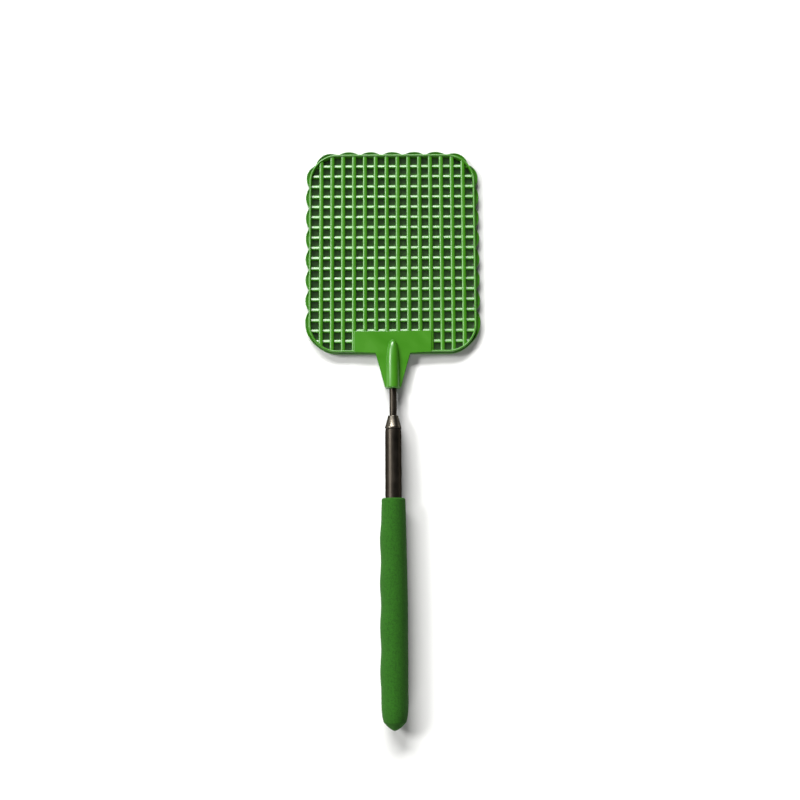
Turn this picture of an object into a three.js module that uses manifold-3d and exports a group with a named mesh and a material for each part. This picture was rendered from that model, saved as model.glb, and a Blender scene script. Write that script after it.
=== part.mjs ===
// Telescopic fly swatter: a moulded head on a five-section friction pole with a foam grip.
// Millimetres, +Z up. It lies flat with the pole along +Y, the head at the +Y end and its face up.
// Every piece is drawn on the pole's own axis, Y being the distance from the grip's pointed end.
import * as THREE from "three";
import { mergeVertices } from "three/addons/utils/BufferGeometryUtils.js";
import Module from "manifold-3d";

const wasm = await Module();
wasm.setup();

// Whole object
const TOTAL_LENGTH = 259.8;
const AXIS_HEIGHT = 6.1;
const ROUND_SEGMENTS = 24;
const CUT_MARGIN = 1;

// Pole: outer_tube is section 1, tip_rod is section 5
const SECTIONS = 5;
const OUTER_DIAMETER = 7.2;
const DIAMETER_STEP = 1;
const WALL = 0.35;
const SWAGE_DEPTH = 0.08;
const SWAGE_LENGTH = 1.2;
const MOUTH_STATION = 130.6;
const OUTER_TAIL_STATION = 7;

// Friction joint at the tail of each moving section
const FIRST_BUSH_STATION = 11;
const BUSH_SPACING = 6.5;
const BUSH_HEAD_LENGTH = 3.6;
const BUSH_SPIGOT_LENGTH = 2.4;
const BUSH_FLANGE_LENGTH = 0.35;
const TURNING_CLEARANCE = 0.08;
const PRESS_CLEARANCE = 0.06;
const END_GAP = 0.1;
const SHIM_THICKNESS = 0.2;
const SHIM_CLEARANCE = 0.06;
const SHIM_SPLIT = 0.3;

// Plug in the outer tube's tail
const PLUG_HEAD_LENGTH = 1.3;
const PLUG_SPIGOT_LENGTH = 3.2;

// Collar on the tip rod
const COLLAR_STATION = 130.9;
const COLLAR_LENGTH = 5.8;
const COLLAR_BASE_RADIUS = 3.6;
const COLLAR_TOP_RADIUS = 2.35;
const COLLAR_BAND = 0.7;
const COLLAR_SHOULDER = 0.5;
const COLLAR_BORE_CLEARANCE = 0.08;

// Tip rod's hold in the head
const NECK_STATION = 149;
const SOCKET_DEPTH = 14;
const SOCKET_CLEARANCE = 0.15;
const GROOVE_DEPTH = 0.25;
const GROOVE_LENGTH = 1.2;
const GROOVES = 3;

// Grip
const GRIP_LENGTH = 100;
const GRIP_TIP_LENGTH = 3.8;
const GRIP_BORE_CLEARANCE = 0.15;
const GRIP_BORE_BOTTOM = 5.3;
const GRIP_END_RADIUS = 5.2;
const GRIP_BELLY_RADIUS = AXIS_HEIGHT;
const GRIP_BELLY_STATION = 12;
const GRIP_SLIMMING_STATION = 55;
const GRIP_MOUTH_RADIUS = 5.25;
const GRIP_MOUTH_ROUNDING = 0.9;
const END_ROUNDNESS = 0.6;
const BELLY_ROUNDNESS = 2.5;
const SLIMMING_POWER = 1.2;
const SWELLS = 4;
const SWELL_PITCH = 19;
const SWELL_STATION = 24.8;
const SWELL_DEPTH = 0.45;
const GRIP_TIP_STEPS = 5;
const GRIP_STEPS = 38;

// Head, in the plane of its grid: pitches and outline are measured on the rim's centre-line
const COLUMNS = 15;
const ROWS = 19;
const COLUMN_PITCH = 5;
const ROW_PITCH = 4.82;
const PETAL_BASE = 0.6;
const PETAL_HEIGHT = 1.65;
const RIM_HALF_WIDTH = (COLUMNS * COLUMN_PITCH) / 2;
const RIM_TOP = TOTAL_LENGTH - PETAL_BASE - PETAL_HEIGHT;
const RIM_BOTTOM = RIM_TOP - ROWS * ROW_PITCH;
const RIM_HALF_THICKNESS = 0.5;
const CORNER_COLUMNS = 5;
const CORNER_START = CORNER_COLUMNS * COLUMN_PITCH;
const CORNER_RADIUS = RIM_HALF_WIDTH - CORNER_START;
const CORNER_ARC = (Math.PI / 2) * CORNER_RADIUS;
const SIDE_RUN = RIM_TOP - RIM_BOTTOM - 2 * CORNER_RADIUS;
const SIDE_PETALS = 6;
const PETAL_STEPS = 4;
const BOTTOM_FLANGE = 1;
const FLANGE_RUN_OUT = 18;
const FLANGE_STEPS = 9;
const COLUMN_BAR_WIDTH = 2;
const COLUMN_CROWN = [[1, 0.7], [0.7, 0.25], [0.3, 0], [-0.3, 0], [-0.7, 0.25], [-1, 0.7]];
const ROW_BAR_WIDTH = 1.6;
const PANEL_COLUMNS = 7;
const PANEL_ROWS = 2;
const PANEL_LAP = 0.6;
const NECK_TOP_WIDTH = 15.2;
const NECK_BOTTOM_WIDTH = 7.6;
const NECK_CHAMFER = 0.8;
const SPINE_RADIUS = 3.1;
const SPINE_SHOULDER_STATION = 158;
const SPINE_TIP_STATION = 171.2;
const SPINE_NOSE_STEPS = 8;
const NOSE_BLUNTNESS = 2.4;
const SPINE_OVERHANG = 0.3;

// Head, levels above the pole's axis: the plate lies low, so the spine stands proud of its face
const PANEL_LEVEL = 0.4;
const RIM_LEVEL = 0.3;
const COLUMN_BAR_LEVEL = 0;
const ROW_BAR_LEVEL = -0.8;
const FLANGE_LEVEL = -1.2;
const BEAD_SINK = 0.3;
const COLUMN_BAR_BACK = -3.1;
const ROW_BAR_BACK = -3.3;
const PANEL_BACK = -3.4;
const RIM_BACK = -3.5;

const plastic = { color: 0x4a9a2e, roughness: 0.42, metalness: 0 };
const foam = { color: 0x3c822a, roughness: 0.95, metalness: 0 };
const darkSteel = { color: 0x2a2620, roughness: 0.18, metalness: 1 };
const collarSteel = { color: 0x6b655b, roughness: 0.2, metalness: 1 };
const brass = { color: 0xb9954a, roughness: 0.35, metalness: 1 };
const bronze = { color: 0xb0764a, roughness: 0.3, metalness: 1 };
const blackPlastic = { color: 0x1b1b1b, roughness: 0.6, metalness: 0 };

// Solids: three.js geometry to manifold and back

function solidOf(geometry) {
  const bare = geometry.clone();
  bare.deleteAttribute("normal");
  bare.deleteAttribute("uv");
  const merged = mergeVertices(bare);
  const vertProperties = new Float32Array(merged.attributes.position.array);
  const triVerts = new Uint32Array(merged.index.array);
  return new wasm.Manifold(new wasm.Mesh({ numProp: 3, vertProperties, triVerts }));
}

function geometryOf(solid) {
  const mesh = solid.getMesh();
  const geometry = new THREE.BufferGeometry();
  geometry.setAttribute("position", new THREE.BufferAttribute(mesh.vertProperties, 3));
  geometry.setIndex(new THREE.BufferAttribute(mesh.triVerts, 1));
  geometry.computeVertexNormals();
  return geometry;
}

function pieceOf(name, geometry, finish) {
  const piece = new THREE.Mesh(geometry, new THREE.MeshStandardMaterial(finish));
  piece.name = name;
  return piece;
}

// A body of revolution about the pole's axis, from [radius, station] corners.
function turned(corners, segments = ROUND_SEGMENTS) {
  const outline = corners.map(([radius, station]) => new THREE.Vector2(radius, station));
  if (THREE.ShapeUtils.isClockWise(outline)) outline.reverse();
  const onAxis = corners[0][0] === 0;
  if (!onAxis) outline.push(outline[0].clone());
  return new THREE.LatheGeometry(outline, segments);
}

// A flat plate in the head's plane, between two levels measured from the pole's axis.
function plate(shape, bottom, top, curveSegments = 8) {
  const options = { depth: top - bottom, bevelEnabled: false, curveSegments };
  return new THREE.ExtrudeGeometry(shape, options).translate(0, 0, bottom);
}

// A prism along +Y from an outline drawn in X and Z.
function prismAlongPole(shape, start, length, curveSegments = 12) {
  const options = { depth: length, bevelEnabled: false, curveSegments };
  return new THREE.ExtrudeGeometry(shape, options).rotateX(-Math.PI / 2).translate(0, start, 0);
}

// Pole

function outsideRadius(section) {
  return (OUTER_DIAMETER - (section - 1) * DIAMETER_STEP) / 2;
}

function boreRadius(section) {
  return outsideRadius(section) - WALL;
}

function bushStation(section) {
  return FIRST_BUSH_STATION + (section - 2) * BUSH_SPACING;
}

function tailStation(section) {
  return section === 1 ? OUTER_TAIL_STATION : bushStation(section) + BUSH_HEAD_LENGTH + END_GAP;
}

function tubeSection(section) {
  const outside = outsideRadius(section);
  const bore = boreRadius(section);
  const tail = tailStation(section);
  const swageStart = MOUTH_STATION - SWAGE_LENGTH;
  const lipStart = MOUTH_STATION - SWAGE_LENGTH / 3;
  return turned([
    [bore, tail],
    [outside, tail],
    [outside, swageStart],
    [outside - SWAGE_DEPTH, lipStart],
    [outside - SWAGE_DEPTH, MOUTH_STATION],
    [bore - SWAGE_DEPTH, MOUTH_STATION],
    [bore - SWAGE_DEPTH, lipStart],
    [bore, swageStart],
  ]);
}

// Solid rod: drilled at the tail for its bush, ringed by grooves where the head is moulded round it.
function tipRod() {
  const radius = outsideRadius(SECTIONS);
  const groove = radius - GROOVE_DEPTH;
  const spigotBore = boreRadius(SECTIONS);
  const tail = tailStation(SECTIONS);
  const spigotEnd = tail + BUSH_SPIGOT_LENGTH;
  const end = NECK_STATION + SOCKET_DEPTH - SOCKET_CLEARANCE;
  const corners = [[0, spigotEnd], [spigotBore, spigotEnd], [spigotBore, tail], [radius, tail]];
  for (let ring = GROOVES; ring >= 1; ring--) {
    const start = end - 2 * ring * GROOVE_LENGTH;
    corners.push([radius, start], [groove, start]);
    corners.push([groove, start + GROOVE_LENGTH], [radius, start + GROOVE_LENGTH]);
  }
  corners.push([radius, end - GROOVE_DEPTH], [groove, end], [0, end]);
  return turned(corners);
}

// Turned cone with a short plain band at its foot and a rounded shoulder at its top.
function noseCollar() {
  const bore = outsideRadius(SECTIONS) + COLLAR_BORE_CLEARANCE;
  const top = COLLAR_STATION + COLLAR_LENGTH;
  const shoulderBulge = COLLAR_SHOULDER * (1 - Math.SQRT1_2);
  return turned([
    [bore, COLLAR_STATION],
    [COLLAR_BASE_RADIUS, COLLAR_STATION],
    [COLLAR_BASE_RADIUS, COLLAR_STATION + COLLAR_BAND],
    [COLLAR_TOP_RADIUS, top - COLLAR_SHOULDER],
    [COLLAR_TOP_RADIUS - shoulderBulge, top - shoulderBulge],
    [COLLAR_TOP_RADIUS - COLLAR_SHOULDER, top],
    [bore, top],
  ]);
}

// Flanged bush: its grooved head runs in the bore of the section outside, its spigot is pressed in its own.
function tailBush(section) {
  const flange = boreRadius(section - 1) - TURNING_CLEARANCE;
  const groove = boreRadius(section - 1) - SHIM_CLEARANCE - SHIM_THICKNESS - PRESS_CLEARANCE;
  const spigot = boreRadius(section) - PRESS_CLEARANCE;
  const start = bushStation(section);
  const headEnd = start + BUSH_HEAD_LENGTH;
  return turned([
    [0, start],
    [flange, start],
    [flange, start + BUSH_FLANGE_LENGTH],
    [groove, start + BUSH_FLANGE_LENGTH],
    [groove, headEnd - BUSH_FLANGE_LENGTH],
    [flange, headEnd - BUSH_FLANGE_LENGTH],
    [flange, headEnd],
    [spigot, headEnd],
    [spigot, headEnd + BUSH_SPIGOT_LENGTH],
    [0, headEnd + BUSH_SPIGOT_LENGTH],
  ]);
}

// Half-round spring shim in the bush's groove; side is +1 for the front half and -1 for the back half.
function frictionShim(section, side) {
  const outside = boreRadius(section - 1) - SHIM_CLEARANCE;
  const inside = outside - SHIM_THICKNESS;
  const split = Math.asin(SHIM_SPLIT / 2 / inside);
  const start = side > 0 ? split : Math.PI + split;
  const end = side > 0 ? Math.PI - split : 2 * Math.PI - split;
  const shape = new THREE.Shape();
  shape.absarc(0, 0, outside, start, end, false);
  shape.absarc(0, 0, inside, end, start, true);
  const grooveStart = bushStation(section) + BUSH_FLANGE_LENGTH + END_GAP;
  const length = BUSH_HEAD_LENGTH - 2 * (BUSH_FLANGE_LENGTH + END_GAP);
  return prismAlongPole(shape, grooveStart, length);
}

function endPlug() {
  const head = outsideRadius(1) - SWAGE_DEPTH;
  const spigot = boreRadius(1) - PRESS_CLEARANCE;
  const headEnd = OUTER_TAIL_STATION - END_GAP;
  return turned([
    [0, headEnd - PLUG_HEAD_LENGTH],
    [head, headEnd - PLUG_HEAD_LENGTH],
    [head, headEnd],
    [spigot, headEnd],
    [spigot, headEnd + PLUG_SPIGOT_LENGTH],
    [0, headEnd + PLUG_SPIGOT_LENGTH],
  ]);
}

// Grip

// Radius of the grip away from its finger swells.
function gripRadius(station) {
  if (station <= GRIP_TIP_LENGTH) {
    return GRIP_END_RADIUS * (station / GRIP_TIP_LENGTH) ** END_ROUNDNESS;
  }
  if (station <= GRIP_BELLY_STATION) {
    const left = (GRIP_BELLY_STATION - station) / (GRIP_BELLY_STATION - GRIP_TIP_LENGTH);
    return THREE.MathUtils.lerp(GRIP_BELLY_RADIUS, GRIP_END_RADIUS, left ** BELLY_ROUNDNESS);
  }
  const slimmed = (station - GRIP_SLIMMING_STATION) / (GRIP_LENGTH - GRIP_SLIMMING_STATION);
  const slimming = Math.max(0, slimmed) ** SLIMMING_POWER;
  const body = THREE.MathUtils.lerp(GRIP_BELLY_RADIUS, GRIP_MOUTH_RADIUS, slimming);
  const round = Math.max(0, 1 - (GRIP_LENGTH - station) / GRIP_MOUTH_ROUNDING);
  return body - GRIP_MOUTH_ROUNDING * (1 - Math.sqrt(1 - round ** 2));
}

// Radius on the -X side, with the finger swells; the last swell's front slope runs out to the plain radius.
function swellRadius(station) {
  const plain = gripRadius(station);
  const firstValley = SWELL_STATION - SWELL_PITCH / 2;
  const lastCrest = SWELL_STATION + (SWELLS - 1) * SWELL_PITCH;
  if (station < firstValley) return plain - Math.min(SWELL_DEPTH, plain * SWELL_DEPTH);
  if (station < lastCrest) {
    const wave = (1 + Math.cos((2 * Math.PI * (station - firstValley)) / SWELL_PITCH)) / 2;
    return GRIP_BELLY_RADIUS - SWELL_DEPTH * wave;
  }
  const proud = GRIP_BELLY_RADIUS - gripRadius(lastCrest);
  return plain + proud * (1 - THREE.MathUtils.smoothstep(station, lastCrest, lastCrest + SWELL_PITCH / 2));
}

function foamGrip() {
  const bore = outsideRadius(1) + GRIP_BORE_CLEARANCE;
  const corners = [[0, 0]];
  for (let step = 1; step <= GRIP_TIP_STEPS; step++) {
    const station = (GRIP_TIP_LENGTH * step) / GRIP_TIP_STEPS;
    corners.push([gripRadius(station), station]);
  }
  for (let step = 1; step <= GRIP_STEPS; step++) {
    const station = THREE.MathUtils.lerp(GRIP_TIP_LENGTH, GRIP_LENGTH, step / GRIP_STEPS);
    corners.push([gripRadius(station), station]);
  }
  corners.push([bore, GRIP_LENGTH], [bore, GRIP_BORE_BOTTOM], [0, GRIP_BORE_BOTTOM]);
  const sleeve = turned(corners);
  const position = sleeve.attributes.position;
  for (let i = 0; i < position.count; i++) {
    const radius = Math.hypot(position.getX(i), position.getZ(i));
    const station = position.getY(i);
    const isSkin = radius > 0 && Math.abs(radius - gripRadius(station)) < Math.abs(radius - bore);
    if (!isSkin) continue;
    const facing = Math.max(0, -position.getX(i) / radius);
    const scale = THREE.MathUtils.lerp(1, swellRadius(station) / gripRadius(station), facing);
    position.setX(i, position.getX(i) * scale);
    position.setZ(i, position.getZ(i) * scale);
  }
  return sleeve;
}

// Head

// The rim's rounded outline, moved outwards from its centre-line by an offset.
function rimOutline(offset) {
  const side = RIM_HALF_WIDTH + offset;
  const top = RIM_TOP - CORNER_RADIUS;
  const bottom = RIM_BOTTOM + CORNER_RADIUS;
  const radius = CORNER_RADIUS + offset;
  const quarter = Math.PI / 2;
  const shape = new THREE.Shape();
  shape.absarc(side - radius, top, radius, 0, quarter);
  shape.absarc(radius - side, top, radius, quarter, 2 * quarter);
  shape.absarc(radius - side, bottom, radius, 2 * quarter, 3 * quarter);
  shape.absarc(side - radius, bottom, radius, 3 * quarter, 4 * quarter);
  return shape;
}

// Point beside the rim's centre-line, at a distance clockwise along it from its top middle.
function pointByRim(distance, outwards) {
  const radius = CORNER_RADIUS + outwards;
  if (distance <= CORNER_START) return new THREE.Vector2(distance, RIM_TOP + outwards);
  const intoCorner = distance - CORNER_START;
  if (intoCorner <= CORNER_ARC) {
    const angle = intoCorner / CORNER_RADIUS;
    const y = RIM_TOP - CORNER_RADIUS + radius * Math.cos(angle);
    return new THREE.Vector2(CORNER_START + radius * Math.sin(angle), y);
  }
  const downSide = intoCorner - CORNER_ARC;
  if (downSide <= SIDE_RUN) {
    return new THREE.Vector2(RIM_HALF_WIDTH + outwards, RIM_TOP - CORNER_RADIUS - downSide);
  }
  const angle = (downSide - SIDE_RUN) / CORNER_RADIUS;
  const y = RIM_BOTTOM + CORNER_RADIUS - radius * Math.sin(angle);
  return new THREE.Vector2(CORNER_START + radius * Math.cos(angle), y);
}

// Where each petal ends: two columns apart along the top, two in the corner, two rows apart down the side.
function petalEnds() {
  const ends = [-COLUMN_PITCH, COLUMN_PITCH, 3 * COLUMN_PITCH, CORNER_START];
  const cornerPetal = (CORNER_ARC + ROW_PITCH / 2) / 2;
  ends.push(ends.at(-1) + cornerPetal, ends.at(-1) + 2 * cornerPetal);
  for (let petal = 0; petal < SIDE_PETALS; petal++) ends.push(ends.at(-1) + 2 * ROW_PITCH);
  return ends;
}

// How far the flange stands out from the rim's centre-line.
function flangeReach(distance) {
  const ends = petalEnds();
  const next = ends.findIndex((end) => end >= distance);
  if (next > 0) {
    const along = (distance - ends[next - 1]) / (ends[next] - ends[next - 1]);
    return PETAL_BASE + PETAL_HEIGHT * 4 * along * (1 - along);
  }
  const past = distance - ends.at(-1);
  const rising = Math.max(0, 1 - past / ROW_PITCH);
  if (rising > 0) return PETAL_BASE + PETAL_HEIGHT * (1 - rising ** 2);
  const fading = THREE.MathUtils.smoothstep(past, ROW_PITCH, FLANGE_RUN_OUT);
  return THREE.MathUtils.lerp(PETAL_BASE + PETAL_HEIGHT, BOTTOM_FLANGE, fading);
}

// Low flange outside the rim: petals over the top and down the sides, plain round the bottom.
function scallopedFlange() {
  const ends = petalEnds();
  const stops = [0, COLUMN_PITCH / 2];
  for (let petal = 2; petal < ends.length; petal++) {
    for (let step = 0; step < PETAL_STEPS; step++) {
      stops.push(THREE.MathUtils.lerp(ends[petal - 1], ends[petal], step / PETAL_STEPS));
    }
  }
  const cornerEnd = CORNER_START + 2 * CORNER_ARC + SIDE_RUN;
  for (let step = 0; step <= FLANGE_STEPS; step++) {
    stops.push(THREE.MathUtils.lerp(ends.at(-1), cornerEnd, step / FLANGE_STEPS));
  }
  const right = stops.map((stop) => pointByRim(stop, flangeReach(stop)));
  const left = right.slice(1).map((point) => new THREE.Vector2(-point.x, point.y));
  const shape = new THREE.Shape([...right, ...left.reverse()]);
  shape.holes.push(rimOutline(-RIM_HALF_THICKNESS));
  return plate(shape, RIM_BACK, FLANGE_LEVEL);
}

function rimBead() {
  const shape = rimOutline(RIM_HALF_THICKNESS);
  shape.holes.push(rimOutline(-RIM_HALF_THICKNESS));
  return plate(shape, FLANGE_LEVEL - BEAD_SINK, RIM_LEVEL);
}

// Upright bars, crowned on the face side.
function columnBar(index) {
  const half = COLUMN_BAR_WIDTH / 2;
  const shape = new THREE.Shape();
  shape.moveTo(-half, -COLUMN_BAR_BACK);
  shape.lineTo(half, -COLUMN_BAR_BACK);
  for (const [across, drop] of COLUMN_CROWN) shape.lineTo(half * across, drop - COLUMN_BAR_LEVEL);
  shape.closePath();
  const bar = prismAlongPole(shape, RIM_BOTTOM, RIM_TOP - RIM_BOTTOM);
  return bar.translate(index * COLUMN_PITCH - RIM_HALF_WIDTH, 0, 0);
}

// Cross bars, set lower than the upright ones.
function rowBar(index) {
  const height = ROW_BAR_LEVEL - ROW_BAR_BACK;
  const bar = new THREE.BoxGeometry(2 * RIM_HALF_WIDTH, ROW_BAR_WIDTH, height);
  return bar.translate(0, RIM_BOTTOM + index * ROW_PITCH, ROW_BAR_BACK + height / 2);
}

// Solid panel over the middle of the last rows, running on down as the neck.
function panelAndNeck() {
  const panelHalf = (PANEL_COLUMNS * COLUMN_PITCH) / 2;
  const panelTop = RIM_BOTTOM + PANEL_ROWS * ROW_PITCH - ROW_BAR_WIDTH / 4;
  const panelFoot = RIM_BOTTOM - PANEL_LAP;
  const neckFoot = NECK_STATION + SPINE_OVERHANG;
  const shape = new THREE.Shape();
  shape.moveTo(-panelHalf, panelTop);
  shape.lineTo(-panelHalf, panelFoot);
  shape.lineTo(-NECK_TOP_WIDTH / 2, panelFoot);
  shape.lineTo(-NECK_BOTTOM_WIDTH / 2, neckFoot + NECK_CHAMFER);
  shape.lineTo(NECK_CHAMFER - NECK_BOTTOM_WIDTH / 2, neckFoot);
  shape.lineTo(NECK_BOTTOM_WIDTH / 2 - NECK_CHAMFER, neckFoot);
  shape.lineTo(NECK_BOTTOM_WIDTH / 2, neckFoot + NECK_CHAMFER);
  shape.lineTo(NECK_TOP_WIDTH / 2, panelFoot);
  shape.lineTo(panelHalf, panelFoot);
  shape.lineTo(panelHalf, panelTop);
  shape.closePath();
  return plate(shape, PANEL_BACK, PANEL_LEVEL);
}

// Round spine on the pole's axis, with a bullet nose over the panel.
function spine() {
  const corners = [[0, NECK_STATION], [SPINE_RADIUS - NECK_CHAMFER / 2, NECK_STATION]];
  corners.push([SPINE_RADIUS, NECK_STATION + NECK_CHAMFER]);
  const noseLength = SPINE_TIP_STATION - SPINE_SHOULDER_STATION;
  for (let step = 0; step < SPINE_NOSE_STEPS; step++) {
    const along = Math.sin(((Math.PI / 2) * step) / SPINE_NOSE_STEPS);
    const radius = SPINE_RADIUS * (1 - along ** NOSE_BLUNTNESS) ** (1 / NOSE_BLUNTNESS);
    corners.push([radius, SPINE_SHOULDER_STATION + noseLength * along]);
  }
  corners.push([0, SPINE_TIP_STATION]);
  return turned(corners);
}

function socketBore() {
  const radius = outsideRadius(SECTIONS) + SOCKET_CLEARANCE;
  return turned([
    [0, NECK_STATION - CUT_MARGIN],
    [radius, NECK_STATION - CUT_MARGIN],
    [radius, NECK_STATION + SOCKET_DEPTH],
    [0, NECK_STATION + SOCKET_DEPTH],
  ]);
}

function swatterHead() {
  let grid = solidOf(columnBar(1));
  for (let index = 2; index < COLUMNS; index++) grid = grid.add(solidOf(columnBar(index)));
  for (let index = 1; index < ROWS; index++) grid = grid.add(solidOf(rowBar(index)));
  const insideRim = solidOf(plate(rimOutline(0), RIM_BACK - CUT_MARGIN, RIM_LEVEL + CUT_MARGIN));
  const frame = solidOf(rimBead()).add(solidOf(scallopedFlange()));
  const stem = solidOf(panelAndNeck()).add(solidOf(spine()));
  const moulding = grid.intersect(insideRim).add(frame).add(stem);
  return geometryOf(moulding.subtract(solidOf(socketBore())));
}

// Assembly

function movingSection(section) {
  const group = new THREE.Group();
  const isTip = section === SECTIONS;
  const name = isTip ? "tip_rod" : `tube_${section}`;
  group.add(pieceOf(name, isTip ? tipRod() : tubeSection(section), darkSteel));
  group.add(pieceOf(`tail_bush_${section}`, tailBush(section), brass));
  group.add(pieceOf(`friction_shim_${section}a`, frictionShim(section, 1), bronze));
  group.add(pieceOf(`friction_shim_${section}b`, frictionShim(section, -1), bronze));
  return group;
}

const swatter = new THREE.Group();
swatter.position.set(0, -TOTAL_LENGTH / 2, AXIS_HEIGHT);
swatter.add(pieceOf("foam_grip", foamGrip(), foam));
swatter.add(pieceOf("outer_tube", tubeSection(1), darkSteel));
swatter.add(pieceOf("tube_end_plug", endPlug(), blackPlastic));
for (let section = 2; section <= SECTIONS; section++) swatter.add(movingSection(section));
swatter.add(pieceOf("nose_collar", noseCollar(), collarSteel));
swatter.add(pieceOf("swatter_head", swatterHead(), plastic));

const part = new THREE.Group();
part.add(swatter);

export default part;
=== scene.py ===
import math

import bmesh
import bpy
from mathutils import Matrix, Vector


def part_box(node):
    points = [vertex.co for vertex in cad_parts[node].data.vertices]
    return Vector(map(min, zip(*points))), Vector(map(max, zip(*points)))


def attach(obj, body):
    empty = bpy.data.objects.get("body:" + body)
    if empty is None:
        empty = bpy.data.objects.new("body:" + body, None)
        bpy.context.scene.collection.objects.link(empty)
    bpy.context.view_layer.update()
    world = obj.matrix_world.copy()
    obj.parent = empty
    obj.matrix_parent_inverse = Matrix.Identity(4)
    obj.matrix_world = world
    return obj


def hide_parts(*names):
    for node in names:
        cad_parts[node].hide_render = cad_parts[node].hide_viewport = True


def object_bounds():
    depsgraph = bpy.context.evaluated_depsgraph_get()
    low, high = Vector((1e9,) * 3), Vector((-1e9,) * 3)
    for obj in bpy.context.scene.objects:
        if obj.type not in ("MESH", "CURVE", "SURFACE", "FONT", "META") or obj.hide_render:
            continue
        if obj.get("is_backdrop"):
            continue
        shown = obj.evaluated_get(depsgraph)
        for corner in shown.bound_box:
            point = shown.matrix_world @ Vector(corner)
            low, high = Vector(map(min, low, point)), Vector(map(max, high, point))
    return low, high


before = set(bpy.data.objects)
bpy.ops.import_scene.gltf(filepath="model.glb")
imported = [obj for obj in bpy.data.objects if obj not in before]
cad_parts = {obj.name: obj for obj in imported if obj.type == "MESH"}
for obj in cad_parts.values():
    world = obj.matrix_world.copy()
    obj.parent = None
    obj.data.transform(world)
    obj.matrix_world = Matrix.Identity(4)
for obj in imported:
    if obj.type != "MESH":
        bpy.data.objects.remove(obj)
cad_low, cad_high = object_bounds()

# ---------------------------------------------------------------------------------------------
# Pole tubes: four thin-walled steel tubes that nest in one another, drawn, black-nickel plated
# and polished. Each mouth is swaged in by a few hundredths of a millimetre, so that the friction
# bush on the next tube can't be pulled out.
# ---------------------------------------------------------------------------------------------

MM = 0.001
outer_low, outer_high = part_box("outer_tube")
axis_z = (outer_low.z + outer_high.z) / 2
TUBE_WALL = 0.35 * MM
SWAGE_DEPTH = 0.08 * MM
SWAGE_LENGTH = 1.2 * MM
LIP_ROUND = 0.08 * MM
ROUND_STEPS = 96


def loft(shape, sections, looped=False):
    """A skin over cross-sections, each a closed loop with the same number of points."""
    rings = [[shape.verts.new(point) for point in section] for section in sections]
    pairs = list(zip(rings, rings[1:]))
    if looped:
        pairs.append((rings[-1], rings[0]))
    for ring, following in pairs:
        for i in range(len(ring)):
            j = (i + 1) % len(ring)
            shape.faces.new((ring[i], ring[j], following[j], following[i]))


def turn(shape, profile):
    """A body of revolution about the pole's axis, from a closed profile of (radius, y) points."""
    sections = []
    for step in range(ROUND_STEPS):
        angle = 2 * math.pi * step / ROUND_STEPS
        ring = [(r * math.cos(angle), y, axis_z + r * math.sin(angle)) for r, y in profile]
        sections.append(ring)
    loft(shape, sections, looped=True)


WELD_DISTANCE = 0.001 * MM


def finished_piece(name, shape, material, body, replaced, sharp=35):
    """Makes the drawn shape a piece: smooth up to a sharp angle, with its material, slot and body."""
    bmesh.ops.remove_doubles(shape, verts=shape.verts, dist=WELD_DISTANCE)
    bmesh.ops.dissolve_degenerate(shape, edges=shape.edges, dist=WELD_DISTANCE / 2)
    bmesh.ops.recalc_face_normals(shape, faces=shape.faces)
    mesh = bpy.data.meshes.new(name)
    shape.to_mesh(mesh)
    shape.free()
    mesh.shade_smooth()
    mesh.set_sharp_from_angle(angle=math.radians(sharp))
    mesh.materials.append(material)
    piece = bpy.data.objects.new(name, mesh)
    bpy.context.scene.collection.objects.link(piece)
    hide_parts(replaced)
    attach(piece, body)
    return piece


def linear(hex_colour):
    """An sRGB hex colour as the linear RGBA that shaders take."""
    channels = [int(hex_colour[i : i + 2], 16) / 255 for i in (1, 3, 5)]
    return (*[c / 12.92 if c <= 0.04045 else ((c + 0.055) / 1.055) ** 2.4 for c in channels], 1)


def add_node(owner, kind, settings, links=()):
    """Adds a node: settings go to its inputs or its own options, links feed inputs from outputs."""
    node = owner.node_tree.nodes.new(kind)
    for name, value in settings.items():
        if name in node.inputs:
            node.inputs[name].default_value = value
        else:
            setattr(node, name, value)
    for name, output in links:
        owner.node_tree.links.new(output, node.inputs[name])
    return node


def new_material(name, **shader_settings):
    """A plain material and its shader. The shader settings are the values that are the same all over."""
    material = bpy.data.materials.new(name)
    material.use_nodes = True
    shader = material.node_tree.nodes["Principled BSDF"]
    for socket, value in shader_settings.items():
        shader.inputs[socket.replace("_", " ")].default_value = value
    return material, shader


DRAW_LINE = 0.12 * MM
DRAW_LINE_LENGTH = 60 * DRAW_LINE
HAZE_PATCH = 9 * MM


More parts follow.
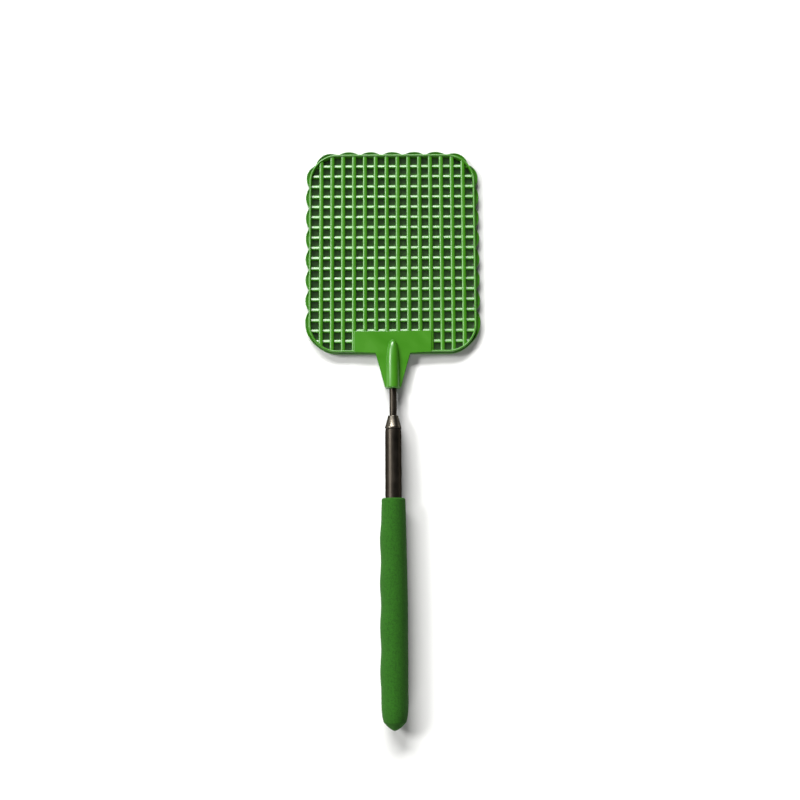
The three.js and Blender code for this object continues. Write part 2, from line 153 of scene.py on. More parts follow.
def black_nickel_steel(name, dark, light, edge, roughness):
    """Drawn steel under black nickel: near-black, with fine lengthwise draw lines and handling haze."""
    material, shader = new_material(name, Metallic=1.0, Specular_Tint=linear(edge))
    tree = material.node_tree
    place = add_node(material, "ShaderNodeTexCoord", {}).outputs["Object"]
    along = add_node(
        material,
        "ShaderNodeMapping",
        {"Scale": (1 / DRAW_LINE, 1 / DRAW_LINE_LENGTH, 1 / DRAW_LINE)},
        [("Vector", place)],
    ).outputs["Vector"]
    lines = add_node(
        material, "ShaderNodeTexNoise", {"Scale": 1.0, "Detail": 4.0}, [("Vector", along)]
    ).outputs["Fac"]
    haze = add_node(
        material,
        "ShaderNodeTexNoise",
        {"Scale": 1 / HAZE_PATCH, "Detail": 5.0, "Roughness": 0.6},
        [("Vector", place)],
    ).outputs["Fac"]
    tone = add_node(material, "ShaderNodeValToRGB", {}, [("Fac", haze)])
    tone.color_ramp.elements[0].position = 0.3
    tone.color_ramp.elements[0].color = linear(dark)
    tone.color_ramp.elements[1].position = 0.75
    tone.color_ramp.elements[1].color = linear(light)
    tree.links.new(tone.outputs["Color"], shader.inputs["Base Color"])
    both = add_node(
        material, "ShaderNodeMath", {"operation": "MULTIPLY"}, [(0, lines), (1, haze)]
    ).outputs["Value"]
    rough = add_node(
        material,
        "ShaderNodeMapRange",
        {"From Min": 0.1, "From Max": 0.45, "To Min": roughness * 0.75, "To Max": roughness * 1.4},
        [("Value", both)],
    ).outputs["Result"]
    tree.links.new(rough, shader.inputs["Roughness"])
    bump = add_node(
        material,
        "ShaderNodeBump",
        {"Strength": 0.25, "Distance": 0.01 * MM},
        [("Height", lines)],
    ).outputs["Normal"]
    tree.links.new(bump, shader.inputs["Normal"])
    return material


# Drawn steel tube, plated in black nickel and wiped to a polish. The eye gets a near-black, slightly
# brown metal with one soft streak down its length, hazier where it has been handled. Draw lines are
# a few hundredths of a millimetre apart, and are drawn at 0.12 mm so that they show.
tube_metal = black_nickel_steel("black_nickel_tube", "#302c27", "#423d36", "#45413a", 0.42)
tubes = [("outer_tube", "grip_and_outer_tube")]
tubes += [(f"tube_{section}", f"section_{section}") for section in (2, 3, 4)]

for node, body in tubes:
    low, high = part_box(node)
    outside = (high.x - low.x) / 2
    bore = outside - TUBE_WALL
    lip = high.y - SWAGE_LENGTH / 3
    tube = bmesh.new()
    turn(
        tube,
        [
            (bore, low.y),
            (outside, low.y),
            (outside, high.y - SWAGE_LENGTH),
            (outside - SWAGE_DEPTH, lip),
            (outside - SWAGE_DEPTH, high.y - LIP_ROUND),
            (outside - SWAGE_DEPTH - LIP_ROUND, high.y),
            (bore - SWAGE_DEPTH + LIP_ROUND, high.y),
            (bore - SWAGE_DEPTH, high.y - LIP_ROUND),
            (bore - SWAGE_DEPTH, lip),
            (bore, high.y - SWAGE_LENGTH),
        ],
    )
    finished_piece(f"{node}_skin", tube, tube_metal, body, node)

# ---------------------------------------------------------------------------------------------
# Friction joints: on each moving tube's tail, a turned brass bush with two half rings of rolled
# spring bronze in its groove. The rings press on the bore outside them and hold the tube wherever
# it is pulled to. The outer tube's tail is closed with a moulded nylon plug.
# ---------------------------------------------------------------------------------------------

# A band texture of scale 1 repeats every 0.314 m.
BAND_REPEAT = 0.314
OXIDE_PATCH = 2.5 * MM


def turned_metal(name, dark, light, edge, roughness, cut):
    """Turned metal: rings one cut apart round the pole's axis, and a dull oxide in places."""
    material, shader = new_material(name, Metallic=1.0, Specular_Tint=linear(edge))
    tree = material.node_tree
    place = add_node(material, "ShaderNodeTexCoord", {}).outputs["Object"]
    rings = add_node(
        material,
        "ShaderNodeTexWave",
        {
            "wave_type": "BANDS",
            "bands_direction": "Y",
            "Scale": BAND_REPEAT / cut,
            "Distortion": 0.6,
            "Detail": 2.0,
        },
        [("Vector", place)],
    ).outputs["Fac"]
    oxide = add_node(
        material,
        "ShaderNodeTexNoise",
        {"Scale": 1 / OXIDE_PATCH, "Detail": 6.0},
        [("Vector", place)],
    ).outputs["Fac"]
    tone = add_node(material, "ShaderNodeValToRGB", {}, [("Fac", oxide)])
    tone.color_ramp.elements[0].position = 0.35
    tone.color_ramp.elements[0].color = linear(dark)
    tone.color_ramp.elements[1].position = 0.6
    tone.color_ramp.elements[1].color = linear(light)
    tree.links.new(tone.outputs["Color"], shader.inputs["Base Color"])
    rough = add_node(
        material,
        "ShaderNodeMapRange",
        {"From Min": 0.3, "From Max": 0.7, "To Min": roughness * 1.4, "To Max": roughness * 0.8},
        [("Value", oxide)],
    ).outputs["Result"]
    tree.links.new(rough, shader.inputs["Roughness"])
    bump = add_node(
        material,
        "ShaderNodeBump",
        {"Strength": 0.3, "Distance": 0.01 * MM},
        [("Height", rings)],
    ).outputs["Normal"]
    tree.links.new(bump, shader.inputs["Normal"])
    return material


FLOW_CLOUD = 14 * MM


def moulded_plastic(name, dark, light, rubbed, roughness, grain, ior):
    """Moulded thermoplastic: the mould's spark grain, faint flow clouds, and paler where it is rubbed."""
    material, shader = new_material(name, IOR=ior)
    tree = material.node_tree
    place = add_node(material, "ShaderNodeTexCoord", {}).outputs["Object"]
    flow = add_node(
        material,
        "ShaderNodeTexNoise",
        {"Scale": 1 / FLOW_CLOUD, "Detail": 3.0, "Distortion": 0.8},
        [("Vector", place)],
    ).outputs["Fac"]
    spark = add_node(
        material,
        "ShaderNodeTexNoise",
        {"Scale": 1 / grain, "Detail": 3.0, "Roughness": 0.55},
        [("Vector", place)],
    ).outputs["Fac"]
    tone = add_node(material, "ShaderNodeValToRGB", {}, [("Fac", flow)])
    tone.color_ramp.elements[0].position = 0.3
    tone.color_ramp.elements[0].color = linear(dark)
    tone.color_ramp.elements[1].position = 0.7
    tone.color_ramp.elements[1].color = linear(light)
    scuffed = add_node(
        material, "ShaderNodeAttribute", {"attribute_name": "scuffed"}
    ).outputs["Fac"]
    patches = add_node(
        material, "ShaderNodeMath", {"operation": "MULTIPLY"}, [(0, scuffed), (1, spark)]
    ).outputs["Value"]
    worn = add_node(
        material,
        "ShaderNodeMapRange",
        {"From Min": 0.3, "From Max": 0.75, "To Max": 0.45},
        [("Value", patches)],
    ).outputs["Result"]
    colour = add_node(material, "ShaderNodeMix", {"data_type": "RGBA"}, [("Factor", worn)])
    colour_a, colour_b = colour.inputs[6], colour.inputs[7]
    tree.links.new(tone.outputs["Color"], colour_a)
    colour_b.default_value = linear(rubbed)
    tree.links.new(colour.outputs[2], shader.inputs["Base Color"])
    rough = add_node(
        material,
        "ShaderNodeMapRange",
        {"From Min": 0.25, "From Max": 0.75, "To Min": roughness * 0.85, "To Max": roughness * 1.2},
        [("Value", flow)],
    ).outputs["Result"]
    tree.links.new(rough, shader.inputs["Roughness"])
    bump = add_node(
        material,
        "ShaderNodeBump",
        {"Strength": 0.2, "Distance": 0.02 * MM},
        [("Height", spark)],
    ).outputs["Normal"]
    tree.links.new(bump, shader.inputs["Normal"])
    return material


# Free-cutting brass, turned from bar: warm yellow, with rings left by the tool and browner stains.
bush_brass = turned_metal("turned_brass", "#8f7136", "#b9954a", "#f3e6bf", 0.32, 0.1 * MM)
# Phosphor bronze strip, rolled into half rings: redder and smoother than the brass, with wider marks.
shim_bronze = turned_metal("rolled_bronze", "#8a5a38", "#b9804f", "#f0d3b0", 0.28, 0.3 * MM)
# Black nylon, moulded: dull and dark, so that it reads as a plain plug behind the metal.
plug_nylon = moulded_plastic("moulded_nylon", "#151515", "#1f1e1d", "#3a3937", 0.55, 0.2 * MM, 1.53)

finishes = {"tail_bush": bush_brass, "friction_shim": shim_bronze, "tube_end_plug": plug_nylon}
for node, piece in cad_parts.items():
    for start_of_name, finish in finishes.items():
        if node.startswith(start_of_name):
            piece.data.materials.clear()
            piece.data.materials.append(finish)

# ---------------------------------------------------------------------------------------------
# Tip rod and nose collar: the thinnest section is a solid drawn rod, plated like the tubes, with
# three grooves that the head is moulded into. The collar is turned from bar and crimped on it.
# ---------------------------------------------------------------------------------------------

rod_low, rod_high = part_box("tip_rod")
rod_radius = (rod_high.x - rod_low.x) / 2
GROOVE_DEPTH = 0.25 * MM
GROOVE_LENGTH = 1.2 * MM
GROOVE_COUNT = 3

rod_profile = [
    (0, rod_low.y),
    (rod_radius - LIP_ROUND, rod_low.y),
    (rod_radius, rod_low.y + LIP_ROUND),
]
for groove in range(GROOVE_COUNT, 0, -1):
    start = rod_high.y - 2 * groove * GROOVE_LENGTH
    rod_profile += [
        (rod_radius, start),
        (rod_radius - GROOVE_DEPTH, start + LIP_ROUND),
        (rod_radius - GROOVE_DEPTH, start + GROOVE_LENGTH - LIP_ROUND),
        (rod_radius, start + GROOVE_LENGTH),
    ]
rod_profile += [
    (rod_radius, rod_high.y - GROOVE_DEPTH),
    (rod_radius - GROOVE_DEPTH, rod_high.y),
    (0, rod_high.y),
]
rod = bmesh.new()
turn(rod, rod_profile)
finished_piece("tip_rod_skin", rod, tube_metal, "section_5_and_head", "tip_rod")

collar_low, collar_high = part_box("nose_collar")
COLLAR_TAPER = 1.25 * MM
COLLAR_CLEARANCE = 0.05 * MM
COLLAR_BAND = 0.7 * MM
COLLAR_SHOULDER = 0.5 * MM
SHOULDER_STEPS = 6
collar_base = (collar_high.x - collar_low.x) / 2
collar_top = collar_base - COLLAR_TAPER
collar_bore = rod_radius + COLLAR_CLEARANCE
collar_profile = [
    (collar_bore, collar_low.y),
    (collar_base - LIP_ROUND, collar_low.y),
    (collar_base, collar_low.y + LIP_ROUND),
    (collar_base, collar_low.y + COLLAR_BAND - LIP_ROUND),
    (collar_base - LIP_ROUND / 2, collar_low.y + COLLAR_BAND),
    (collar_top, collar_high.y - COLLAR_SHOULDER),
]
for step in range(1, SHOULDER_STEPS + 1):
    angle = math.pi / 2 * step / SHOULDER_STEPS
    collar_profile.append(
        (
            collar_top - COLLAR_SHOULDER * (1 - math.cos(angle)),
            collar_high.y - COLLAR_SHOULDER * (1 - math.sin(angle)),
        )
    )
collar_profile.append((collar_bore, collar_high.y))
collar = bmesh.new()
turn(collar, collar_profile)
# Turned steel under black nickel: paler and shinier than the tube, so that its cone shows one bright
# streak between dark sides, faintly ringed by the tool.
collar_metal = turned_metal("turned_black_nickel", "#4a463f", "#5c574e", "#45413a", 0.3, 0.12 * MM)
finished_piece(
    "nose_collar_skin", collar, collar_metal, "section_5_and_head", "nose_collar"
)

# ---------------------------------------------------------------------------------------------
# Head: one injection moulding in green polypropylene. Crowned upright bars stand over lower cross
# bars inside a raised rim bead. The flange outside the bead is cut in dished petals, and a flat
# panel runs on as the neck, with a round spine that grips the rod.
# ---------------------------------------------------------------------------------------------

head_low, head_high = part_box("swatter_head")
COLUMNS = 15
CORNER_COLUMNS = 5
ROWS = 19
ROW_PITCH = 4.82 * MM
PETAL_FOOT = 0.6 * MM
PETAL_REACH = 2.25 * MM
PLAIN_REACH = 1.0 * MM
half_width = head_high.x - PETAL_REACH
column_pitch = 2 * half_width / COLUMNS
rim_top = head_high.y - PETAL_REACH
rim_bottom = rim_top - ROWS * ROW_PITCH
corner_start = CORNER_COLUMNS * column_pitch
corner_radius = half_width - corner_start
corner_arc = math.pi / 2 * corner_radius
side_run = rim_top - rim_bottom - 2 * corner_radius
half_round = 2 * (corner_start + corner_arc) + side_run


def on_rim(distance):
    """Point and outward direction on the rim's middle line, a distance clockwise from its top middle."""
    if distance < 0 or distance > half_round:
        mirrored = -distance if distance < 0 else 2 * half_round - distance
        point, outward = on_rim(mirrored)
        return Vector((-point.x, point.y)), Vector((-outward.x, outward.y))
    if distance <= corner_start:
        return Vector((distance, rim_top)), Vector((0, 1))
    distance -= corner_start
    if distance <= corner_arc:
        angle = distance / corner_radius
        outward = Vector((math.sin(angle), math.cos(angle)))
        return Vector((corner_start, rim_top - corner_radius)) + corner_radius * outward, outward
    distance -= corner_arc
    if distance <= side_run:
        return Vector((half_width, rim_top - corner_radius - distance)), Vector((1, 0))
    distance -= side_run
    if distance <= corner_arc:
        angle = distance / corner_radius
        outward = Vector((math.cos(angle), -math.sin(angle)))
        return Vector((corner_start, rim_bottom + corner_radius)) + corner_radius * outward, outward
    distance -= corner_arc
    return Vector((corner_start - distance, rim_bottom)), Vector((0, -1))


# Where each petal ends, as distances from the rim's top middle: two columns apart along the top,
# two petals round the corner, then two rows apart down the side.
TOP_PETAL_ENDS = 4
SIDE_PETALS = 6
RUN_OUT = 18 * MM
PETAL_STEPS = 20
petal_ends = [(2 * i - 1) * column_pitch for i in range(TOP_PETAL_ENDS)]
corner_petal = (corner_arc + ROW_PITCH / 2) / 2
petal_ends += [petal_ends[-1] + corner_petal, petal_ends[-1] + 2 * corner_petal]
petal_ends += [petal_ends[-1] + 2 * ROW_PITCH * i for i in range(1, SIDE_PETALS + 1)]


def flange_reach(distance):
    """How far the flange stands out from the rim's middle line, a distance from its top middle."""
    for start, end in zip(petal_ends, petal_ends[1:]):
        if start <= distance <= end:
            along = (distance - start) / (end - start)
            return PETAL_FOOT + (PETAL_REACH - PETAL_FOOT) * 4 * along * (1 - along)
    past = distance - petal_ends[-1]
    if past < ROW_PITCH:
        return PETAL_FOOT + (PETAL_REACH - PETAL_FOOT) * (1 - (1 - past / ROW_PITCH) ** 2)
    fade = min(1, (past - ROW_PITCH) / (RUN_OUT - ROW_PITCH))
    fade = fade * fade * (3 - 2 * fade)
    return PETAL_REACH + (PLAIN_REACH - PETAL_REACH) * fade


PLAIN_STEPS = 110
stops = [2 * step * petal_ends[1] / PETAL_STEPS for step in range(PETAL_STEPS // 2)]
for start, end in zip(petal_ends[1:], petal_ends[2:]):
    stops += [start + (end - start) * step / PETAL_STEPS for step in range(PETAL_STEPS)]
plain_run = half_round - petal_ends[-1]
stops += [petal_ends[-1] + plain_run * step / PLAIN_STEPS for step in range(PLAIN_STEPS + 1)]

# The head's tops and backs are heights above the pole's axis.
BEAD_HALF = 0.5 * MM
BEAD_TOP = 0.3 * MM
BEAD_ROUND = 0.45 * MM
RIM_BACK = -3.5 * MM
LIP_TOP = -1.2 * MM
DISH_DEPTH = 0.6 * MM
# The dish's shape: (share of the way from bead to lip, share of its depth).
DISH_SHAPE = ((0.06, 0.8), (0.2, 1.0), (0.5, 0.8), (0.8, 0.35))
FULL_FLANGE = 1 * MM
LIP_ROUND_LIMIT = 0.32 * MM
LIP_SHARE = 0.45
EDGE_ROUND = 0.18 * MM
BEAD_STEPS = 8
LIP_STEPS = 4
LIP_START = 0.4


def rim_section(distance):
    """The rim's cross-section as (outward, up) points: bead, dished flange, rounded lip, flat back."""
    reach = flange_reach(min(distance, 2 * half_round - distance))
    room = reach - BEAD_HALF
    fullness = min(1, room / FULL_FLANGE)
    lip = min(LIP_ROUND_LIMIT, LIP_SHARE * room)
    points = [(-BEAD_HALF, RIM_BACK + EDGE_ROUND)]
    for step in range(BEAD_STEPS + 1):
        angle = math.pi * step / BEAD_STEPS
        points.append((-BEAD_HALF * math.cos(angle), BEAD_TOP - BEAD_ROUND * (1 - math.sin(angle))))
    for along, depth in DISH_SHAPE:
        points.append((BEAD_HALF + (room - lip) * along, LIP_TOP - DISH_DEPTH * fullness * depth))
    for step in range(LIP_STEPS + 1):
        angle = math.pi / 2 * (LIP_START + (1 - LIP_START) * (1 - step / LIP_STEPS))
        points.append((reach - lip * (1 - math.cos(angle)), LIP_TOP - lip * (1 - math.sin(angle))))
    points.append((reach, LIP_TOP - lip))
    points.append((reach, RIM_BACK + EDGE_ROUND))
    points.append((reach - EDGE_ROUND * fullness, RIM_BACK))
    points.append((-BEAD_HALF + EDGE_ROUND / 2, RIM_BACK))
    return points


# The bead stands highest, so its top is what is rubbed when the head is laid on its face.
SCUFF_DEPTH = 0.2 * MM
SCUFF_STRENGTH = 0.6
head = bmesh.new()
scuffed = head.verts.layers.float.new("scuffed")
right_half = [(stop, rim_section(stop)) for stop in stops]
left_half = [(2 * half_round - stop, section) for stop, section in right_half[-2:0:-1]]
sections = []
for distance, section in right_half + left_half:
    point, outward = on_rim(distance)
    place = [point + outward * out for out, _ in section]
    sections.append([(p.x, p.y, axis_z + up) for p, (_, up) in zip(place, section)])
loft(head, sections, looped=True)
for vertex in head.verts:
    if vertex.co.z > axis_z + BEAD_TOP - SCUFF_DEPTH:
        vertex[scuffed] = SCUFF_STRENGTH

COLUMN_BAR_WIDTH = 2.0 * MM
COLUMN_BAR_TOP = 0
COLUMN_BAR_BACK = -3.1 * MM
COLUMN_CROWN = 0.55 * MM
ROW_BAR_WIDTH = 1.6 * MM
ROW_BAR_TOP = -0.8 * MM
ROW_BAR_BACK = -3.3 * MM
BAR_DRAFT = 0.1 * MM
CROWN_STEPS = 12
COLUMN_FACE = []
for step in range(CROWN_STEPS + 1):
    angle = math.pi * step / CROWN_STEPS
    COLUMN_FACE.append((math.cos(angle), COLUMN_CROWN * (1 - math.sin(angle))))
# The cross bars' faces slope away from the neck: (share of the half width, drop below the top).
ROW_FACE = [(1, 0.62), (0.97, 0.52), (0.9, 0.46), (0.55, 0.335), (0.2, 0.225), (-0.15, 0.125)]
ROW_FACE += [(-0.5, 0.045), (-0.72, 0.01), (-0.85, 0.03), (-0.95, 0.15), (-1, 0.35)]
ROW_FACE = [(across, drop * MM) for across, drop in ROW_FACE]


def bar_section(middle, width, top, face, back):
    """A grid bar's cross-section as (across, up) points: shaped face, drafted sides, flat back."""
    points = [(middle + across * width / 2, axis_z + top - drop) for across, drop in face]
    points.append((middle - width / 2 + BAR_DRAFT, axis_z + back))
    points.append((middle + width / 2 - BAR_DRAFT, axis_z + back))
    return points


def short_of_side(from_corner):
    """How far short of the rim's straight side a bar ends, by its distance into the rounded corner."""
    return corner_radius - math.sqrt(corner_radius**2 - from_corner**2) if from_corner > 0 else 0


for column in range(1, COLUMNS):
    x = column * column_pitch - half_width
    short = short_of_side(abs(x) - corner_start)
    bar = bar_section(x, COLUMN_BAR_WIDTH, COLUMN_BAR_TOP, COLUMN_FACE, COLUMN_BAR_BACK)
    ends = (rim_bottom + short, rim_top - short)
    loft(head, [[(across, y, up) for across, up in bar] for y in ends])

for row in range(1, ROWS):
    y = rim_bottom + row * ROW_PITCH
    short = short_of_side(corner_radius - min(rim_top - y, y - rim_bottom))
    bar = bar_section(y, ROW_BAR_WIDTH, ROW_BAR_TOP, ROW_FACE, ROW_BAR_BACK)
    ends = (short - half_width, half_width - short)
    loft(head, [[(x, across, up) for across, up in bar] for x in ends])

PANEL_COLUMNS = 7
PANEL_ROWS = 2
PANEL_LAP = 0.6 * MM
PANEL_TOP = 0.4 * MM
PANEL_BACK = -3.4 * MM
NECK_HEAD_WIDTH = 15.2 * MM
NECK_FOOT_WIDTH = 7.6 * MM
FOOT_ROUND = 0.8 * MM
SPINE_OVERHANG = 0.3 * MM
PANEL_ROUND = 0.25 * MM
FLAT_BORDER = 0.04 * MM
panel_half = PANEL_COLUMNS * column_pitch / 2
panel_end = rim_bottom + PANEL_ROWS * ROW_PITCH - ROW_BAR_WIDTH / 4
panel_foot = rim_bottom - PANEL_LAP
neck_foot = head_low.y + SPINE_OVERHANG
right_side = [
    (NECK_FOOT_WIDTH / 2 - FOOT_ROUND, neck_foot),
    (NECK_FOOT_WIDTH / 2, neck_foot + FOOT_ROUND),
    (NECK_HEAD_WIDTH / 2, panel_foot),
    (panel_half, panel_foot),
    (panel_half, panel_end),
]
outline = right_side + [(-x, y) for x, y in reversed(right_side)]
back = [head.verts.new((x, y, axis_z + PANEL_BACK)) for x, y in outline]
front = [head.verts.new((x, y, axis_z + PANEL_TOP)) for x, y in outline]
head.faces.new(back[::-1])
head.faces.new(front)
for i in range(len(outline)):
    j = (i + 1) % len(outline)
    head.faces.new((back[i], back[j], front[j], front[i]))
long_edges = [e for e in head.edges if set(e.verts) <= set(front) or set(e.verts) <= set(back)]
bmesh.ops.bevel(head, geom=long_edges, offset=PANEL_ROUND, segments=3, affect="EDGES", profile=0.5)
# A narrow border keeps the smooth shading of the rounded edge off the flat faces.
head.normal_update()
flats = [f for f in head.faces if len(f.verts) == len(outline) and abs(f.normal.z) > 0.99]
bmesh.ops.inset_individual(head, faces=flats, thickness=FLAT_BORDER)

SPINE_RADIUS = 3.1 * MM
SPINE_NOSE = 13.2 * MM
SPINE_LENGTH = 22.2 * MM
NOSE_BLUNTNESS = 2.4
NOSE_STEPS = 40
FOOT_STEPS = 6
SOCKET_CLEARANCE = 0.1 * MM
spine_low = head_low.y
spine_shoulder = spine_low + SPINE_LENGTH - SPINE_NOSE
socket_radius = rod_radius + SOCKET_CLEARANCE
spine_profile = [(socket_radius, spine_low)]
for step in range(FOOT_STEPS + 1):
    angle = math.pi / 2 * step / FOOT_STEPS
    radius = SPINE_RADIUS - FOOT_ROUND * (1 - math.sin(angle))
    spine_profile.append((radius, spine_low + FOOT_ROUND * (1 - math.cos(angle))))
for step in range(NOSE_STEPS + 1):
    along = math.sin(math.pi / 2 * step / NOSE_STEPS)
    radius = SPINE_RADIUS * (1 - along**NOSE_BLUNTNESS) ** (1 / NOSE_BLUNTNESS)
    spine_profile.append((radius, spine_shoulder + SPINE_NOSE * along))
spine_profile.append((0, spine_low + FOOT_ROUND))
spine_profile.append((socket_radius, spine_low + FOOT_ROUND))
turn(head, spine_profile)

# Polypropylene, injection moulded in a finely sparked steel mould. It is satin: the crowned bars take
# thin white highlights on a deep grass green, and the flat panel stays even, with faint flow clouds.
# Spark grain is about 0.1 mm, and is drawn at 0.35 mm so that it shows.
head_plastic = moulded_plastic(
    "moulded_polypropylene", "#2d680a", "#35710e", "#8fc26f", 0.32, 0.35 * MM, 1.49
)
finished_piece(
    "head_moulding", head, head_plastic, "section_5_and_head", "swatter_head", sharp=40
)

# ---------------------------------------------------------------------------------------------
# Grip: a sleeve of closed-cell foam, moulded with a closed pointed end and four finger swells
# down one side, and pushed over the outer tube. Its skin is matt, with fine open cells.
# ---------------------------------------------------------------------------------------------

grip_low, grip_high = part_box("foam_grip")
grip_length = grip_high.y - grip_low.y
belly_radius = (grip_high.z - grip_low.z) / 2
END_RADIUS = 5.2 * MM
MOUTH_RADIUS = 5.25 * MM
TIP_LENGTH = 3.8 * MM
BELLY_STATION = 12 * MM
SLIM_START = 55 * MM
MOUTH_ROUND = 0.9 * MM
SWELL_PITCH = 19 * MM
FIRST_VALLEY = 15.3 * MM
LAST_CREST = 81.8 * MM
SWELL_DEPTH = 0.45 * MM
TIP_SWELL_SHARE = 0.45
BORE_BOTTOM = 5.3 * MM
BORE_CLEARANCE = 0.12 * MM
# Exponents of the outline's curves: lower is fuller at the tip, higher is flatter at the belly.
TIP_CURVE = 0.6
BELLY_CURVE = 2.5
SLIM_CURVE = 1.2
TIP_STEPS = 14
BODY_STEPS = 180
MOUTH_STEPS = 8
grip_bore = (outer_high.x - outer_low.x) / 2 + BORE_CLEARANCE


def grip_radius(station):
    """Radius of the sleeve away from its finger swells, at a distance from its pointed end."""
    if station <= TIP_LENGTH:
        return END_RADIUS * (station / TIP_LENGTH) ** TIP_CURVE
    if station <= BELLY_STATION:
        left = (BELLY_STATION - station) / (BELLY_STATION - TIP_LENGTH)
        return belly_radius + (END_RADIUS - belly_radius) * left**BELLY_CURVE
    slim = max(0, (station - SLIM_START) / (grip_length - SLIM_START)) ** SLIM_CURVE
    body = belly_radius + (MOUTH_RADIUS - belly_radius) * slim
    rounding = max(0, 1 - (grip_length - station) / MOUTH_ROUND)
    return body - MOUTH_ROUND * (1 - math.sqrt(max(0, 1 - rounding**2)))


def swell_radius(station):
    """Radius on the side of the finger swells, which run out to the plain radius towards the mouth."""
    plain = grip_radius(station)
    if station < FIRST_VALLEY:
        return plain - min(SWELL_DEPTH, TIP_SWELL_SHARE * plain)
    if station < LAST_CREST:
        wave = (1 + math.cos(2 * math.pi * (station - FIRST_VALLEY) / SWELL_PITCH)) / 2
        return belly_radius - SWELL_DEPTH * wave
    past = min(1, (station - LAST_CREST) / (SWELL_PITCH / 2))
    return plain + (belly_radius - grip_radius(LAST_CREST)) * (1 - past * past * (3 - 2 * past))


def sleeve_ring(station, plain, swell):
    """One ring of the sleeve: plain all round, but easing to the swell's radius on the -X side."""
    ring = []
    for step in range(ROUND_STEPS):
        angle = 2 * math.pi * step / ROUND_STEPS
        r = plain + (swell - plain) * max(0, -math.cos(angle))
        ring.append((r * math.cos(angle), grip_low.y + station, axis_z + r * math.sin(angle)))
    return ring


body_length = grip_length - MOUTH_ROUND - TIP_LENGTH
stations = [TIP_LENGTH * (step / TIP_STEPS) ** 1.5 for step in range(TIP_STEPS + 1)]
stations += [TIP_LENGTH + body_length * step / BODY_STEPS for step in range(1, BODY_STEPS + 1)]
for step in range(1, MOUTH_STEPS + 1):
    angle = math.pi / 2 * step / MOUTH_STEPS
    stations.append(grip_length - MOUTH_ROUND * (1 - math.sin(angle)))
sections = [sleeve_ring(place, grip_radius(place), swell_radius(place)) for place in stations]
sections += [sleeve_ring(place, grip_bore, grip_bore) for place in (grip_length, BORE_BOTTOM)]
sleeve = bmesh.new()
loft(sleeve, sections)


def closed_cell_foam(name, pit_shade, skin, sheen, cell):
    """Moulded foam with a thin skin: dull, faintly velvety, pitted by cells, with painted shade darkening
    the pits and a random unevenness of tone.
    """
    material, shader = new_material(
        name,
        IOR=1.45,
        Roughness=0.9,
        Specular_IOR_Level=0.2,
        Sheen_Weight=0.08,
        Sheen_Roughness=0.5,
        Sheen_Tint=linear(sheen),
    )
    tree = material.node_tree
    place = add_node(material, "ShaderNodeTexCoord", {}).outputs["Object"]
    cells = add_node(
        material,
        "ShaderNodeTexVoronoi",
        {"Scale": 1 / cell, "Randomness": 1.0},
        [("Vector", place)],
    ).outputs["Distance"]
    fuzz = add_node(
        material,
        "ShaderNodeTexNoise",
        {"Scale": 1 / (2.2 * cell), "Detail": 6.0, "Roughness": 0.65},
        [("Vector", place)],
    ).outputs["Fac"]
    height = add_node(
        material, "ShaderNodeMath", {"operation": "ADD"}, [(0, cells), (1, fuzz)]
    ).outputs["Value"]
    tone = add_node(
        material,
        "ShaderNodeMapRange",
        {"From Min": 0.6, "From Max": 1.15},
        [("Value", height)],
    ).outputs["Result"]
    # Painted shade: the low cell pits are coloured darker than the raised cell walls, and the noise
    # varies the tone at random.
    pit_shade_ramp = add_node(material, "ShaderNodeValToRGB", {}, [("Fac", tone)])
    pit_shade_ramp.color_ramp.elements[0].color = linear(pit_shade)
    pit_shade_ramp.color_ramp.elements[1].color = linear(skin)
    tree.links.new(pit_shade_ramp.outputs["Color"], shader.inputs["Base Color"])
    bump = add_node(
        material,
        "ShaderNodeBump",
        {"Strength": 0.55, "Distance": 0.12 * MM},
        [("Height", height)],
    ).outputs["Normal"]
    tree.links.new(bump, shader.inputs["Normal"])
    return material


# Nitrile foam, moulded and cured in a closed tool. The eye gets a deep, dull green with no highlight,
# slightly mottled, and a faint velvet where it turns away. The darker green in the cell pits is painted
# shade. Its cells are about 0.2 mm, and are drawn at 0.55 mm so that they show.
grip_foam = closed_cell_foam("closed_cell_foam", "#173f07", "#1f500b", "#9fd08a", 0.55 * MM)
grip_piece = finished_piece(
    "grip_sleeve", sleeve, grip_foam, "grip_and_outer_tube", "foam_grip"
)

# ---------------------------------------------------------------------------------------------
# Studio: the swatter lies on a plain pale floor like a sheet of card, which rises a little to meet
# the head's back. A wide soft box stands beyond the head, a smaller one to the left and a dim one at
# the grip's end. The camera looks down on it through a 50 mm lens, tilted from upright.
# ---------------------------------------------------------------------------------------------

bpy.context.scene.view_settings.view_transform = "Standard"

FLOOR_GAP = 0.05 * MM
FLOOR_HALF = 4
RAMP_STEPS = 24
RAMP_LAP = 5 * MM
floor_rise = axis_z + RIM_BACK
ramp_start = grip_high.y - RAMP_LAP
ramp_length = head_low.y - ramp_start
floor_edges = [(-FLOOR_HALF, 0)]
for step in range(RAMP_STEPS + 1):
    along = step / RAMP_STEPS
    height = floor_rise * along * along * (3 - 2 * along)
    floor_edges.append((ramp_start + ramp_length * along, height))
floor_edges.append((FLOOR_HALF, floor_rise))
floor_shape = bmesh.new()
ribs = []
for y, z in floor_edges:
    ribs.append([floor_shape.verts.new((x, y, z - FLOOR_GAP)) for x in (-FLOOR_HALF, FLOOR_HALF)])
for near, far in zip(ribs, ribs[1:]):
    floor_shape.faces.new((near[0], near[1], far[1], far[0]))
floor_mesh = bpy.data.meshes.new("floor")
floor_shape.to_mesh(floor_mesh)
floor_shape.free()
floor_mesh.shade_smooth()
floor = bpy.data.objects.new("floor", floor_mesh)
bpy.context.scene.collection.objects.link(floor)
# Matt paper, a shade off white: it takes the soft boxes evenly and shows no highlight of its own.
floor_paint, _ = new_material("matt_paper", Roughness=0.8, Base_Color=linear("#cfcfcd"))
floor_mesh.materials.append(floor_paint)
floor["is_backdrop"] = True


LIGHT_DISTANCE = 3.5


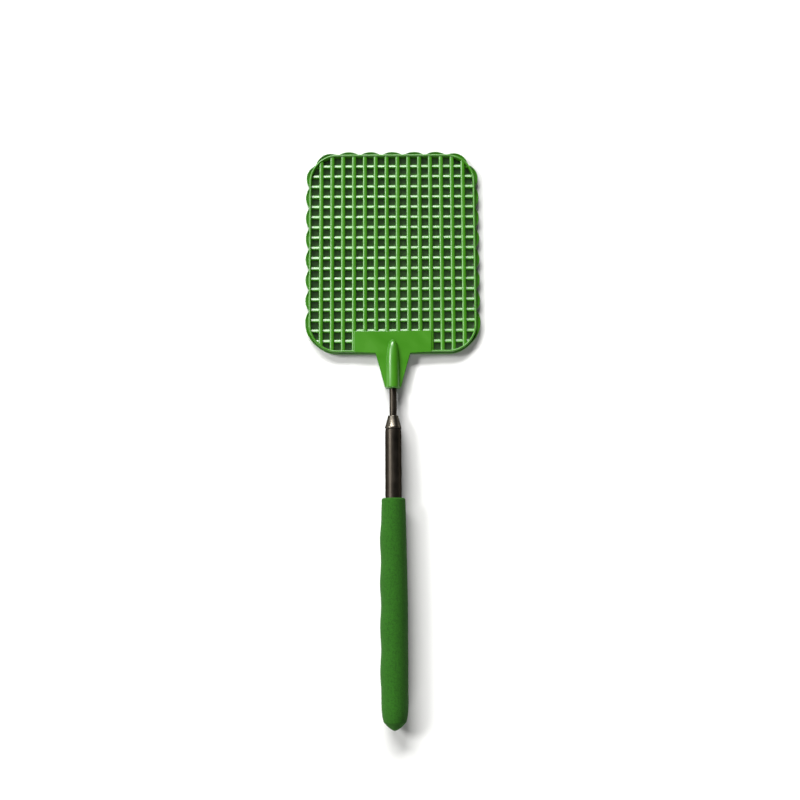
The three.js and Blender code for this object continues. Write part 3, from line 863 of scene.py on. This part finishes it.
def soft_box(name, direction, width, height, power):
    """A rectangular studio light, aimed at the middle of the swatter from a direction."""
    light = bpy.data.lights.new(name, "AREA")
    light.shape = "RECTANGLE"
    light.size = width
    light.size_y = height
    light.energy = power
    lamp = bpy.data.objects.new(name, light)
    away = Vector(direction).normalized()
    lamp.location = LIGHT_DISTANCE * away
    lamp.rotation_mode = "QUATERNION"
    lamp.rotation_quaternion = (-away).to_track_quat("-Z", "Y")
    bpy.context.scene.collection.objects.link(lamp)


soft_box("head_box", (-0.22, 0.78, 0.56), 2.3, 0.7, 250)
soft_box("left_box", (-0.72, 0.28, 0.6), 1.2, 0.7, 120)
soft_box("foot_box", (-0.08, -0.9, 0.42), 2.4, 1.0, 66)

# The room lights the swatter only dimly, and behind the floor the camera sees a pale backdrop.
world = bpy.data.worlds.new("surround")
world.use_nodes = True
room = world.node_tree.nodes["Background"]
room.inputs["Color"].default_value = linear("#ffffff")
room.inputs["Strength"].default_value = 0.045
backdrop = add_node(world, "ShaderNodeBackground", {"Color": linear("#ececea")})
seen = add_node(world, "ShaderNodeLightPath", {}).outputs["Is Camera Ray"]
surround = add_node(world, "ShaderNodeMixShader", {}, [("Fac", seen)])
sky = world.node_tree.nodes["World Output"]
world.node_tree.links.new(room.outputs["Background"], surround.inputs[1])
world.node_tree.links.new(backdrop.outputs["Background"], surround.inputs[2])
world.node_tree.links.new(surround.outputs["Shader"], sky.inputs["Surface"])
bpy.context.scene.world = world

CAMERA_TILT = math.radians(7.62)
CAMERA_TURN = math.radians(-0.3)
CAMERA_DISTANCE = 497.3 * MM
AIM_ACROSS = 3.1 * MM
AIM_ALONG = 143.73 * MM
camera_data = bpy.data.cameras.new("camera")
camera_data.lens = 50
camera_data.clip_start = 0.01
camera_data.clip_end = 20
camera = bpy.data.objects.new("camera", camera_data)
bpy.context.scene.collection.objects.link(camera)
aim = Matrix.Translation((AIM_ACROSS, cad_low.y + AIM_ALONG, axis_z))
turned = Matrix.Rotation(CAMERA_TURN, 4, "Z") @ Matrix.Rotation(CAMERA_TILT, 4, "X")
camera.matrix_world = aim @ turned @ Matrix.Translation((0, 0, CAMERA_DISTANCE))
bpy.context.scene.camera = camera

low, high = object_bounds()
